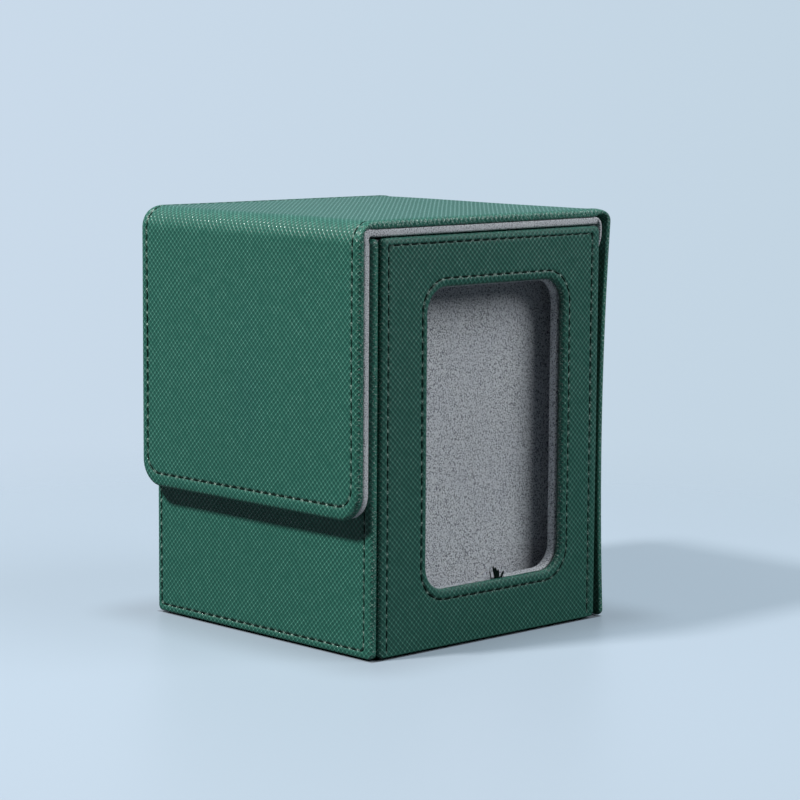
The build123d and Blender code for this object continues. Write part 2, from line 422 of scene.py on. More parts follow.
# Embossed lattice: two crossed families of ridges, each a raised cosine to a power, uneven along their run
# by a noise of their own, joined as a union
weave_pitch = 1.49         # measured along either side of a diamond's box
weave_depth = 0.095
weave_drift = 0.3          # ridges wander by this much
drift_fineness = 160.0
ridge_power = 4.0          # a higher figure makes the ridges thinner
ridge_least = 0.50         # height of the weakest ridge
uneven_fineness = 420.0
uneven_noise = (0.30, 0.65)        # from the weakest ridge to a whole one
grain_fineness = 2600.0

weave, start, end = group_of("leather_weave", {"Flat": "Vector", "Pitch": "Float"},
                             {"Height": "Float", "Crest": "Float", "Grain": "Float"})
flat, pitch = start.outputs["Flat"], start.outputs["Pitch"]
drift = vector(weave, "SUBTRACT", noise(weave, flat, drift_fineness, 1.0)["Color"], (0.5, 0.5, 0.5))[0]
drift = vector(weave, "MULTIPLY", drift, (weave_drift / 1000,) * 3)[0]
spot = parts_of(weave, vector(weave, "ADD", flat, drift)[0])
across, upward = [figure(weave, "DIVIDE", spot[k], pitch) for k in (0, 1)]
uneven = noise(weave, flat, uneven_fineness, 2.0)["Color"]
uneven = wire(weave, "SeparateColor", {0: uneven}).outputs
ridges = []
for operation, strength in (("ADD", uneven[0]), ("SUBTRACT", uneven[1])):
    angle = figure(weave, "MULTIPLY", figure(weave, operation, across, upward), 2 * np.pi)
    ridge = figure(weave, "MULTIPLY_ADD", figure(weave, "COSINE", angle), 0.5, 0.5)
    strength = ramp(weave, strength, *uneven_noise, ridge_least)
    ridges.append(figure(weave, "MULTIPLY", figure(weave, "POWER", ridge, ridge_power), strength))
crest = figure(weave, "MULTIPLY", *ridges)
height = figure(weave, "SUBTRACT", figure(weave, "ADD", *ridges), crest)
feed(weave, end, Height=height, Crest=crest, Grain=noise(weave, flat, grain_fineness, 2.0)["Fac"])

# Edge wear and sheen: a mask broken up by two noises, coarse for rubbed patches and fine for specks; it marks
# real wear and painted highlight
patch_fineness, speck_fineness = 180.0, 1500.0
wear_gain, wear_start = 4.0, 0.55

wear_and_sheen, start, end = group_of("edge_wear_and_sheen", {"Mask": "Float", "Place": "Vector"}, {"Wear": "Float"})
patch, speck = [noise(wear_and_sheen, start.outputs["Place"], fineness, 2.0)["Fac"]
                for fineness in (patch_fineness, speck_fineness)]
broken = figure(wear_and_sheen, "MULTIPLY", figure(wear_and_sheen, "MULTIPLY", patch, speck), wear_gain)
broken = figure(wear_and_sheen, "SUBTRACT", broken, wear_start, clamp=True)
feed(wear_and_sheen, end, Wear=figure(wear_and_sheen, "MULTIPLY", broken, start.outputs["Mask"], clamp=True))

# Leather: the lattice is dark in its hollows and pale on its crossings, which are also the smoothest: partly
# its own tone, partly painted shade in the hollows and painted highlight on the crossings. Needle holes and
# rolled edges get painted glints
leather_deep = (0.0100, 0.0990, 0.0725, 1)
leather_face = (0.0400, 0.2050, 0.1500, 1)
leather_crest = (0.1550, 0.4450, 0.3500, 1)
leather_worn_and_lit = (0.0700, 0.3300, 0.2400, 1)
leather_glint = (0.5000, 0.6800, 0.6000, 1)
seam_shade = (0.0016, 0.0150, 0.0100, 1)
crest_gain = 1.4
pore_grain, pore_share = (0.42, 0.30), 0.4         # grain below this is a dark pore
mottle_fineness = 55.0
mottle_share, mottle_start = 0.25, -0.06
hole_wear, wear_and_light_share, seam_share = 0.8, 0.6, 0.7
hole_grain, edge_grain = (0.46, 0.56), (0.58, 0.64)    # grain above this gets a painted glint
leather_rough, least_rough = 0.54, 0.14
ridge_polish, crest_polish, edge_polish = -0.20, -0.50, -0.14
crest_rise = 0.6           # crossings stand above the ridges

leather, tree, shader = finish_of("green_leather", Specular_IOR_Level=0.5)
flat = held(tree, "flat")
edge, seam, hole = parts_of(tree, held(tree, "trim"))
emboss = wire(tree, "Group", {"Flat": flat, "Pitch": weave_pitch / 1000}, node_tree=weave)
height, crest, grain = emboss.outputs
wear_and_sheen_mask = figure(tree, "MAXIMUM", edge, figure(tree, "MULTIPLY", hole, hole_wear))
worn_and_lit = wire(tree, "Group", {"Mask": wear_and_sheen_mask, "Place": place_in(tree)}, node_tree=wear_and_sheen).outputs[0]
mottle = noise(tree, flat, mottle_fineness, 4.0)["Fac"]
colour = tint(tree, height, leather_deep, leather_face)
colour = tint(tree, figure(tree, "MULTIPLY", crest, crest_gain, clamp=True), colour, leather_crest)
colour = tint(tree, ramp(tree, grain, *pore_grain, high=pore_share), colour, seam_shade)
mottle = figure(tree, "MULTIPLY_ADD", mottle, mottle_share, mottle_start, clamp=True)
colour = tint(tree, mottle, colour, leather_deep)
# rubbed edges and needle holes paler: partly real wear, partly a painted highlight on rolled edges
colour = tint(tree, figure(tree, "MULTIPLY", worn_and_lit, wear_and_light_share), colour, leather_worn_and_lit)
# painted shade in the stitching's groove, and behind the window's lip
colour = tint(tree, figure(tree, "MULTIPLY", seam, seam_share), colour, seam_shade)
for mask, caught in ((hole, hole_grain), (edge, edge_grain)):
    colour = tint(tree, figure(tree, "MULTIPLY", mask, ramp(tree, grain, *caught)), colour, leather_glint)
rough = figure(tree, "MULTIPLY_ADD", height, ridge_polish, leather_rough)
rough = figure(tree, "MULTIPLY_ADD", crest, crest_polish, rough)
rough = figure(tree, "MULTIPLY_ADD", edge, edge_polish, rough)
relief = figure(tree, "MULTIPLY_ADD", crest, crest_rise, height)
bump = wire(tree, "Bump", {"Height": relief, "Distance": weave_depth / 1000}).outputs[0]
feed(tree, shader, Base_Color=colour, Roughness=figure(tree, "MAXIMUM", rough, least_rough), Normal=bump)

# Thread: two plies laid in a helix along each stitch, some stitches darker than others
thread_colour = (0.0012, 0.0070, 0.0050, 1)
thread_light = (0.0060, 0.0260, 0.0190, 1)
thread_undyed = (0.86, 0.86, 0.88, 1)
ply_length = 0.75
ply_depth = 0.08

thread, tree, shader = finish_of("dark_thread", Roughness=0.7, Specular_IOR_Level=0.12)
along, around = parts_of(tree, held(tree, "flat"))[:2]
tone, undyed = parts_of(tree, held(tree, "trim"))[:2]
lay_angle = figure(tree, "MULTIPLY", figure(tree, "ADD", along, around), 2 * np.pi / (ply_length / 1000))
ply = figure(tree, "MULTIPLY_ADD", figure(tree, "SINE", lay_angle), 0.5, 0.5)
shade = figure(tree, "MULTIPLY", figure(tree, "MULTIPLY_ADD", tone, 0.5, 0.5), ply)
colour = tint(tree, undyed, tint(tree, shade, thread_colour, thread_light), thread_undyed)
bump = wire(tree, "Bump", {"Height": ply, "Distance": ply_depth / 1000}).outputs[0]
feed(tree, shader, Base_Color=colour, Normal=bump)

front_box, front_depth, lay_front = laid("front_cover", ("+x", "+z", "-y"))
front_grids, front_seam = wrapped_board(front_box, (wall_corner, wall_corner), front_margins,
                                        front_seam_corner, even(front_depth))
dress(skin("front_leather", front_grids, lay_front, leather), "leather", "front_cover")
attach(skin("front_stitching", [stitches(*front_seam)], lay_front, thread), "box")


# Left side wall: the same wrapped board, sewn up both sides and along the top; its foot is glued
# to the base and has no stitching.
side_crease = 0.45         # leather that bulges towards the front wall and nearly closes the gap to it
side_margins = (1.85 + side_crease, 3.0, 1.0, 1.75)        # stitching to the front, back, low and high edge
side_seam_corner = 0.6

left_box, left_depth, lay_left = laid("left_cover", ("-y", "+z", "-x"))
left_box = inside(left_box, (0, -side_crease, 0, 0))
left_margins = (side_margins[1], side_margins[0], side_margins[2], side_margins[3])
left_grids, left_seam = wrapped_board(left_box, (wall_corner, wall_corner), left_margins, side_seam_corner,
                                      even(left_depth), all_round=False)
dress(skin("left_leather", left_grids, lay_left, leather), "leather", "left_cover")
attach(skin("left_stitching", [stitches(*left_seam)], lay_left, thread), "box")


# Window wall: a board frame in leather that also turns in through the opening and covers the cut edge.
# It is sewn like the other side wall, with a second round of stitches close to the opening, whose knot
# and loose thread ends stand up behind the lower lip.
window_width, window_height = 47.0, 73.3
window_corner = 6.2
window_shift, window_rise = 1.0, 0.85       # opening's middle from the panel's own
window_margins = (2.0, 2.1, 2.5, 2.2)       # stitching outside the opening's left, right, low and high edge
window_seam_corner = 8.2
window_foot_corner = 0.3   # corner of the outer stitching's line at the foot
window_steps = arc_steps, 110, 150
lip_roll = 1.0
lip_shade, shaded_lip_rows = 0.9, 5           # painted shade on the leather turned in behind the lip, which lies in its shadow
ring_inset, ring_corner = 6.0, 2.0          # field's middle line is halfway from this loop inside the edge
ring_outset = 5.5                           # to this one outside the opening

window_box, window_depth, lay_window = laid("window_cover", ("+y", "+z", "+x"))
window_thickness = even(window_depth)
window_a = (window_box[0] + window_box[1]) / 2 + window_shift
window_b = (window_box[2] + window_box[3]) / 2 + window_rise
window_box = inside(window_box, (-side_crease, 0, 0, 0))
opening = (window_a - window_width / 2, window_a + window_width / 2,
           window_b - window_height / 2, window_b + window_height / 2)


def window_edge(inset):
    """Panel's outer edge, brought in."""
    corner = max(wall_corner - inset, square_corner)
    return rounded_loop(shrunk(window_box, inset, foot_roll * inset), (corner, corner), window_steps)


def opening_edge(outset):
    """Edge of the opening, taken out into the panel."""
    corner = window_corner + outset
    return rounded_loop(shrunk(opening, -outset), (corner, corner), window_steps)


outer_corners = (window_foot_corner, side_seam_corner)
outer_seam = rounded_loop(inside(window_box, side_margins), outer_corners, window_steps)
inner_box = inside(opening, [-margin for margin in window_margins])
inner_seam = rounded_loop(inner_box, (window_seam_corner, window_seam_corner), window_steps)
outer_ring = rounded_loop(shrunk(window_box, ring_inset), (ring_corner, ring_corner), window_steps)
ring = 0.5 * (outer_ring + opening_edge(ring_outset))
outer_sewn, outer_phase, outer_path = seam_of(outer_seam, window_steps, False)
inner_sewn, inner_phase, inner_path = seam_of(inner_seam, window_steps, True)
outer_rows = turned_rows(window_edge, outer_seam, ring, window_thickness, outer_sewn, outer_phase)
inner_rows = turned_rows(opening_edge, inner_seam, ring, window_thickness, inner_sewn, inner_phase, lip_roll)
# painted shade on the turned-in leather behind the lip, carried in the seam channel
inner_rows[:shaded_lip_rows, :, seam_channel] = lip_shade
window_rows = np.concatenate([outer_rows, inner_rows[::-1], outer_rows[:1]])
dress(skin("window_leather", [window_rows], lay_window, leather), "leather", "window_cover")

# Each loose end: place along the lip, lean from upright in degrees, length, curl, girth, and 1 if undyed
thread_ends = np.array(((4.9, -14, 3.7, -0.05, 0.36, 0), (5.4, -12, 3.3, -0.02, 0.36, 0),
                        (5.8, -8, 2.5, 0.10, 0.34, 0), (3.3, -8, 2.4, -0.12, 0.15, 0),
                        (6.2, 50, 2.3, -0.25, 0.30, 0), (-4.2, 58, 6.6, 0.06, 0.16, 1)))
end_sunk = 0.4, 1.5        # below the lip's edge, and behind the panel's face
end_tip = 0.98             # share of the girth's square that is gone at the tip
end_mesh = (9, 7)          # points along and round


def loose_ends():
    """Grids of loose thread ends. Each is a thin round tube that tapers by a fourth power to its tip; its
    middle line starts off along its lean and curls aside by the square of the way."""
    spot, lean, length, curl, girth, undyed = thread_ends.T[..., None]
    lean = np.radians(lean)
    t = np.linspace(0, 1, end_mesh[0])[None, :]
    a = spot + length * (t * np.sin(lean) + curl * t * t * np.cos(lean))
    b = opening[2] - end_sunk[0] + length * (t * np.cos(lean) - curl * t * t * np.sin(lean))
    heading = (lean + 2 * curl * t)[..., None]
    v = np.linspace(0, 2 * np.pi, end_mesh[1])
    wide = (girth * np.sqrt(1 - end_tip * t ** 4))[..., None]
    a = a[..., None] + wide * np.cos(v) * np.cos(heading)
    b = b[..., None] - wide * np.cos(v) * np.sin(heading)
    flat = np.stack(np.broadcast_arrays((length * t)[..., None], girth[..., None] * v), -1)
    place = np.stack([a, b], -1)
    return grid_of(place, wide * np.sin(v) - end_sunk[1], flat, seam=undyed[..., None])[..., ::-1, :]


window_seams = [stitches(*outer_path), stitches(*inner_path), loose_ends()]
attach(skin("window_stitching", window_seams, lay_window, thread), "box")


# Base: one piece of leather glued under the bottom board, with a cut edge and no stitching. It lies flat
# on the table.
sheet_corner = 0.5
base_counts = (60, 60)
base_edge_rows = 5


def plain_sheet(box, depth, counts, roll=0.0, edge_rows=2):
    """Grids of a plain sheet or board: its edge is a half round, or straight where it has no roll, and its
    face and back are flat."""
    steps = arc_steps, *counts
    rows = []
    for turn in np.linspace(-np.pi / 2, np.pi / 2, edge_rows):
        loop = rounded_loop(shrunk(box, roll * (1 - np.cos(turn))), (sheet_corner, sheet_corner), steps)
        rows.append(grid_of(loop, -depth * (1 - np.sin(turn)) / 2))
    return closed(np.stack(rows), steps, even(depth))


base_box, base_depth, lay_base = laid("base_cover", ("+x", "-y", "-z"))
base_grids = plain_sheet(base_box, base_depth, base_counts, base_depth / 2, base_edge_rows)
dress(skin("base_leather", base_grids, lay_base, leather), "leather", "base_cover")


# Wall and floor linings: grey suede over card, glued to the inside of each wall and to the base board,
# with a soft rounded upper edge just below the leather's. The back wall's goes over the edge of its board.
suede_dark = (0.052, 0.060, 0.105, 1)
suede_light = (0.930, 0.960, 1.000, 1)
suede_shade = (0.620, 0.645, 0.750, 1)
suede_fuzz = 0.035         # loose fibres along an edge
pad_edge_rows = 9
pad_face_rows = (0.5, 1.2, 2.5)    # in from the soft edge
pad_least_corner = 0.1
lining_roundness = 0.6
lining_spacing = 1.0
edge_cover = (1.5, 0.45)   # back wall's suede over its board's edge: further back, and further up

# Suede nap: fine flecks, broad brushed patches and the pile's height
nap_fineness = 3100.0
fleck_noise = (0.42, 0.47)
brush_fineness = 75.0
brush_noise = (0.35, 0.68)
brush_share = 0.2
worn_sheen_share, edge_sheen_share = 0.7, 0.12     # a cut edge is paler, in patches and all over: partly its own colour, partly a painted highlight
pile_depth = 0.32

nap, start, end = group_of("suede_nap", {"Place": "Vector"},
                           {"Fleck": "Float", "Brushed": "Float", "Pile": "Float"})
place = start.outputs["Place"]
fine = noise(nap, place, nap_fineness, 2.0, Roughness=0.8)["Fac"]
broad = noise(nap, place, brush_fineness, 4.0, Distortion=0.6)["Fac"]
feed(nap, end, Fleck=ramp(nap, fine, *fleck_noise), Brushed=ramp(nap, broad, *brush_noise), Pile=fine)

suede, tree, shader = finish_of("grey_suede", Roughness=0.95, Specular_IOR_Level=0.15, Sheen_Weight=0.25,
                                Sheen_Roughness=0.5)
place = place_in(tree)
edge = parts_of(tree, held(tree, "trim"))[0]
fleck, brushed, pile = wire(tree, "Group", {"Place": place}, node_tree=nap).outputs
worn_and_lit = wire(tree, "Group", {"Mask": edge, "Place": place}, node_tree=wear_and_sheen).outputs[0]
colour = tint(tree, fleck, suede_dark, suede_light)
colour = tint(tree, figure(tree, "MULTIPLY", brushed, brush_share), colour, suede_shade)
# pale cut edges: partly the suede's own wear, partly a painted highlight
edge_wear_and_sheen = figure(tree, "MULTIPLY_ADD", worn_and_lit, worn_sheen_share, figure(tree, "MULTIPLY", edge, edge_sheen_share), clamp=True)
bump = wire(tree, "Bump", {"Height": pile, "Distance": pile_depth / 1000}).outputs[0]
feed(tree, shader, Base_Color=tint(tree, edge_wear_and_sheen, colour, suede_light), Normal=bump)


def padded_rows(edge_at, depth, roundness):
    """Rows of a soft pad from behind its edge to its face: inset and height follow a rounded square, a
    superellipse of the third power, roughened by a little seeded fuzz; then the face runs level."""
    rows = []
    for share in np.linspace(0, 1, pad_edge_rows):
        side = abs(2 * share - 1)
        loop = edge_at(roundness * (1 - (1 - side ** 3) ** (1 / 3)))
        fuzz = chance.normal(0, suede_fuzz, len(loop)) * (1 - side)
        fuzz[-1] = fuzz[0]
        away = loop - loop.mean(0)
        loop = loop + away / np.linalg.norm(away, axis=1)[:, None] * fuzz[:, None]
        rows.append(grid_of(loop, -depth(loop[:, 1]) * (1 - share), edge=1 - side))
    return np.stack(rows + [grid_of(edge_at(roundness + inset), 0) for inset in pad_face_rows])


def soft_pad(box, corners, depth, roundness, spacing):
    """Grids of a whole pad, closed over the rows of its soft edge."""
    left, right, low, high = box
    steps = arc_steps, round((right - left) / spacing), round((high - low) / spacing)

    def edge_at(inset):
        soft = [max(corner - inset, pad_least_corner) for corner in corners]
        return rounded_loop(shrunk(box, inset), soft, steps)

    return closed(padded_rows(edge_at, depth, roundness), steps, depth)


# Each lining: its node, its ways along, up and out, and what goes over a board's edge
linings = (("front_lining", ("-x", "+z", "+y"), (0, 0)), ("left_lining", ("+y", "+z", "+x"), (0, 0)),
           ("back_wall_lining", ("+x", "+z", "-y"), edge_cover), ("base_lining", ("+x", "+y", "+z"), (0, 0)))
for node, ways, (over, up) in linings:
    lining_box, depth, lay = laid(node, ways)
    grids = soft_pad(inside(lining_box, (0, 0, 0, -up)), (sheet_corner, sheet_corner), even(depth + over),
                     lining_roundness, lining_spacing)
    pad = skin(node.replace("lining", "suede"), grids, lay, suede)
    dress(pad, "suede", node)


# Window's suede frame: a thick soft frame glued behind the window panel. It shows as a pale rim inside the
# leather's opening and keeps a card in the pocket from sliding out.
suede_reveal = 0.4
ledge_tilt = 0.9           # the frame's lower edge was cut at a slant and lies lower towards the front
frame_roundness = (0.4, 0.9)       # outer edge and opening
frame_rim_sheen = 0.3           # share of the pale edge kept inside the frame's opening: painted shade, as that rim lies in the lip's shadow

frame_box, frame_depth, lay_frame = laid("window_lining", ("-y", "+z", "-x"))
frame_thickness = even(frame_depth)
frame_opening = shrunk((-opening[1], -opening[0], opening[2], opening[3]), suede_reveal)


def frame_edge(inset):
    """Frame's outer edge, brought in."""
    return rounded_loop(shrunk(frame_box, inset), (sheet_corner, sheet_corner), window_steps)


def frame_opening_edge(outset):
    """Edge of the suede opening, taken out into the frame. It falls to the front in proportion, most at the
    foot, by the square of the way down from the middle."""
    corner = window_corner - suede_reveal + outset
    loop = rounded_loop(shrunk(frame_opening, -outset), (corner, corner), window_steps)
    front = np.clip((loop[:, 0] - frame_opening[0]) / (frame_opening[1] - frame_opening[0]), 0, 1)
    below = np.clip((window_b - loop[:, 1]) / (window_height / 2), 0, 1)
    loop[:, 1] -= ledge_tilt * front * below ** 2
    return loop


frame_outside = padded_rows(frame_edge, frame_thickness, frame_roundness[0])
frame_inside = padded_rows(frame_opening_edge, frame_thickness, frame_roundness[1])
# painted shade: the frame's inner rim keeps less of the pale edge
frame_inside[..., edge_channel] *= frame_rim_sheen
frame_rows = np.concatenate([frame_outside, frame_inside[::-1], frame_outside[:1]])
window_suede = skin("window_suede", [frame_rows], lay_frame, suede)
dress(window_suede, "suede", "window_lining")


# Partition: a card that stands between the well and the display pocket, covered by one piece of suede cloth
# that goes up one face, over the top edge and down the other.
cloth = 0.6
partition_mesh = (200, 70)         # points over the card and along it
cloth_wave = 0.04
part_low, part_high = reach("partition_lining")


def folded_over(low, high, rows, columns):
    """Cloth over a card: the middle line goes up, round a half circle over the card's edge and down, and
    is carried straight along the card. It is left a hair uneven by two slow waves."""
    half = (high[0] - low[0] - cloth) / 2
    middle = (high[0] + low[0]) / 2
    top = high[2] - cloth / 2 - half
    rise = top - low[2]
    bend = np.pi * half
    s = np.linspace(0, 2 * rise + bend, rows)[:, None] * np.ones(columns)
    y = np.linspace(low[1], high[1], columns) * np.ones((rows, 1))
    turn = np.clip((s - rise) / half, 0, np.pi)
    z = np.where(s < rise, low[2] + s, np.where(s > rise + bend, low[2] + 2 * rise + bend - s, top))
    z = z + half * np.sin(turn)
    x = middle - half * np.cos(turn) + cloth_wave * np.sin(0.13 * y + 0.4) * np.sin(0.09 * z)
    return grid_of(np.stack([x, y], -1), z, np.stack([s, y], -1))[:, ::-1], 2 * rise + bend


def lay_straight(a, b, h):
    """Points that are already in their place."""
    return np.stack([a, b, h], -1)


def cloth_piece(name, grid):
    """Piece of suede cloth, thickened to both sides of its middle surface."""
    piece = skin(name, [grid], lay_straight, suede)
    thickness = piece.modifiers.new("cloth", "SOLIDIFY")
    thickness.thickness = cloth / 1000
    thickness.offset = 0
    return piece


partition_grid, cloth_run = folded_over(part_low, part_high, *partition_mesh)
partition_suede = dress(cloth_piece("partition_suede", partition_grid), "suede", "partition_lining")


# Back panel and rear half of the lid: one skin of leather, sewn at its edges, that covers the back board,
# rolls over the top back edge with no board in it, and runs on over the lid. The two halves of the
# lid's leather meet in the middle of the top.
wrap_margins = (2.3, 2.3, 0.0, 2.4)
wrap_seam_corner = 1.0
bend_depth = 1.05          # leather turned double where no board stiffens it
shoulder = 2.1             # 1 is a round edge; more keeps the top nearly level, then folds tighter
shoulder_points = 400      # steps in which the edge's curve is summed up
back_bow = (-0.3, 0.25, 1.65)      # back panel's standing off at mid height, its lean and its bow
back_drop = 0.4            # its foot hangs a hair below the walls'
edge_dip = 0.9             # rear edge sinks between its two stiff sewn sides
lid_low, lid_high = reach("lid_cover")
hinge_low, hinge_high = reach("rear_hinge_leather")
back_low, back_high = reach("back_panel_cover")
hinge_radius = hinge_high[2] - hinge_low[2]
meeting_y = (lid_low[1] + lid_high[1]) / 2
rear_run = hinge_low[1] - meeting_y
rear_arc = hinge_radius * np.pi / 2
rear_length = rear_run + rear_arc + back_high[2] - back_low[2]
lid_depth = lid_high[2] - lid_low[2]
back_depth = back_high[1] - back_low[1]

fold_share = np.linspace(0, 1, shoulder_points)
fold_turn = np.pi / 2 * fold_share ** shoulder
fold_step = rear_arc / (shoulder_points - 1)
fold_back, fold_drop = [np.concatenate([[0], np.cumsum(way(fold_turn[:-1]))]) * fold_step
                        for way in (np.cos, np.sin)]


def eased(share):
    """Smooth step: three times the square less twice the cube."""
    return share * share * (3 - 2 * share)


def lay_rear(a, b, h):
    """Lid's rear half: a runs right, b goes back along the top, over the edge and down. Over the edge the
    slope grows by a power of the way round, its steps are summed up, and the edge dips by a cosine between
    the sides; the back panel is a parabola that stands off at its top and foot."""
    share = np.clip((b - rear_run) / rear_arc, 0, 1)
    turn = np.pi / 2 * share ** shoulder
    fall = np.maximum(b - rear_run - rear_arc, 0) / (rear_length - rear_run - rear_arc)
    z = hinge_high[2] - np.interp(share, fold_share, fold_drop) + h * np.cos(turn)
    z = z - fall * (hinge_high[2] - fold_drop[-1] - back_low[2] + back_drop)
    level = 2 * z / back_high[2] - 1
    bow = back_bow[0] + back_bow[1] * level + back_bow[2] * level * level
    spare = hinge_radius - fold_back[-1]
    y = meeting_y + np.minimum(b, rear_run) + np.interp(share, fold_share, fold_back) + h * np.sin(turn)
    dip = edge_dip * np.cos(np.pi / 2 * a / back_high[0]) * 4 * share * (1 - share)
    return np.stack([a, y + eased(share) * (bow + spare), z - dip], -1)


def bent_depth(run, arc, before, after):
    """Thickness of the wrap: that of the first panel, then of the second, thinner in the bend between."""
    def depth(b):
        share = np.clip((b - run) / arc, 0, 1)
        level = before + (after - before) * eased(share)
        return level - (0.5 * (before + after) - bend_depth) * np.sin(np.pi * share) ** 2

    return depth


rear_box = (back_low[0], back_high[0], 0, rear_length)
rear_grids, rear_seam = wrapped_board(rear_box, (square_corner, wall_corner), wrap_margins, wrap_seam_corner,
                                      bent_depth(rear_run, rear_arc, lid_depth, back_depth),
                                      all_round=False, open_low=True)
rear_leather = skin("lid_leather_rear", rear_grids, lay_rear, leather)
rear_stitching = skin("lid_stitching_rear", [stitches(*rear_seam)], lay_rear, thread)
for piece in (rear_leather, rear_stitching):
    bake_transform(piece)
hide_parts("back_panel_cover", "rear_hinge_leather")


# Back panel's board: the pasteboard inside the back panel, bent to the same bow as the leather round it
# and glued to it.
card_counts = (40, 60)
card_press = 0.75          # pressed thinner by the turned-in leather behind it
card_low, card_high = reach("back_panel_board")


def lay_card(a, b, h):
    """Board in the back panel: it follows the leather, as far in as the board lies."""
    return lay_rear(a, b, h - (back_high[1] - card_high[1]))


card_box = (card_low[0], card_high[0], rear_length - card_high[2], rear_length - card_low[2])
card_grids = plain_sheet(card_box, card_press * (card_high[1] - card_low[1]), card_counts)
dress(skin("back_panel_card", card_grids, lay_card, board), "board", "back_panel_board")


# Front half of the lid and the flap: the same skin goes on over the soft front fold and down the flap,
# whose lower corners are round. The stitching follows it along both sides and round the flap's end.
flap_margins = (2.3, 2.3, 0.0, 3.4)
flap_seam_corner = 4.6
flap_corner = 6.7
flap_spread = 0.45         # flap's left side stands out a little past the lid
fold_low, fold_high = reach("front_fold_leather")
flap_low, flap_high = reach("flap_cover")
fold_radius = fold_high[2] - fold_low[2]
front_run = meeting_y - fold_high[1]
fold_arc = fold_radius * np.pi / 2
flap_length = front_run + fold_arc + flap_high[2] - flap_low[2]
flap_depth = flap_high[1] - flap_low[1]
lid_thickness = bent_depth(front_run, fold_arc, lid_depth, flap_depth)


def lay_flap(a, b, h):
    """Lid's front half: a runs left, b goes forward along the top, a quarter turn over the fold and down. The
    left side spreads by the square of the way out, in proportion to the sine of the turn."""
    turn = np.clip((b - front_run) / fold_radius, 0, np.pi / 2)
    y = meeting_y - np.minimum(b, front_run) - (fold_radius + h) * np.sin(turn)
    z = fold_low[2] + (fold_radius + h) * np.cos(turn) - np.maximum(b - front_run - fold_arc, 0)
    spread = flap_spread * np.clip(a / flap_high[0], 0, 1) ** 2 * np.sin(turn)
    return np.stack([-a - spread, y, z], -1)


flap_box = (flap_low[0], flap_high[0], 0, flap_length)
flap_grids, flap_seam = wrapped_board(flap_box, (square_corner, flap_corner), flap_margins, flap_seam_corner,
                                      lid_thickness, all_round=False, open_low=True)
for grid in flap_grids:
    grid[..., flat_channels] *= -1     # the embossing runs on unbroken from the rear half
flap_leather = skin("lid_leather_front", flap_grids, lay_flap, leather)
flap_stitching = skin("lid_stitching_front", [stitches(*flap_seam)], lay_flap, thread)
for piece in (flap_leather, flap_stitching):
    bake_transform(piece)
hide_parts("lid_cover", "front_fold_leather", "flap_cover")


# Lid and flap padding: one pad of foam-backed suede under the lid, round the inside of the fold and behind
# the flap, a hair short of the leather's edges, so that its pale side shows as a band.
pad_inset = 0.2
pad_lap = 1.1              # reach past the lining's rear edge, over the hinge cloth
pad_bulge = 0.35           # thicker in the fold
pad_rear_corner = 0.8
pad_roundness = 0.55
pad_spacing = 0.7
pad_low, pad_high = reach("lid_lining")
pad_depth = pad_high[2] - pad_low[2]
pad_start = meeting_y - pad_high[1] - pad_lap


def pad_thickness(b):
    """Thickness of the padding, a little more in the fold, where it makes a tight corner."""
    share = np.clip((b - front_run) / fold_arc, 0, 1)
    return pad_depth + pad_bulge * np.sin(np.pi * share) ** 2


def lay_padding(a, b, h):
    """Padding seen from inside: it follows the leather's back, with h into the box."""
    return lay_flap(-a, b, -lid_thickness(b) - pad_thickness(b) - h)


pad_box = (-pad_high[0], -pad_low[0], pad_start, flap_length - pad_inset)
pad_corners = (pad_rear_corner, flap_corner - pad_inset)
pad_grids = soft_pad(pad_box, pad_corners, pad_thickness, pad_roundness, pad_spacing)
lid_suede = skin("lid_suede", pad_grids, lay_padding, suede)
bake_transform(lid_suede)
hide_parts("lid_lining", "front_fold_lining", "flap_lining")


# Hinge cloth: bare suede cloth that lines the rear roll. It is glued between the back wall and the
# back panel, comes up behind the box, turns under the lid and ends at the padding.
cloth_side = (-1.2, 1.1)   # cloth's reach past the lining's sides, below and in the roll
cloth_flare = (90.0, 98.0)         # heights between which it widens
cloth_lap = 1.0            # runs on under the lid
hinge_mesh = (190, 80)     # points up the cloth and across it
turn_low, turn_high = reach("rear_hinge_lining")
tail_low = reach("back_panel_lining")[0]
turn_radius = turn_high[1] - turn_low[1] - cloth / 2


def hinge_cloth(rows, columns):
    """Cloth in the hinge: the middle line goes up the back, a quarter turn forward and a little further. Each
    row reaches from side to side, and widens by a smooth step in height."""
    rise = turn_low[2] - tail_low[2]
    bend = turn_radius * np.pi / 2
    s = np.linspace(0, rise + bend + cloth_lap, rows)[:, None] * np.ones(columns)
    turn = np.clip((s - rise) / turn_radius, 0, np.pi / 2)
    y = turn_low[1] + turn_radius * np.cos(turn) - np.maximum(s - rise - bend, 0)
    z = tail_low[2] + np.minimum(s, rise) + turn_radius * np.sin(turn)
    share = np.clip((z - cloth_flare[0]) / (cloth_flare[1] - cloth_flare[0]), 0, 1)
    half = turn_high[0] + cloth_side[0] + (cloth_side[1] - cloth_side[0]) * eased(share)
    x = half * np.linspace(-1, 1, columns)
    area = 2 * np.sum((half[1:, 0] + half[:-1, 0]) / 2 * np.diff(s[:, 0]))
    return grid_of(np.stack([x, y], -1), z, np.stack([x, s], -1)), rise + bend + cloth_lap, area


hinge_grid, hinge_length, hinge_area = hinge_cloth(*hinge_mesh)
hinge_suede = cloth_piece("hinge_suede", hinge_grid)
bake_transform(hinge_suede)
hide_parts("rear_hinge_lining", "back_panel_lining")


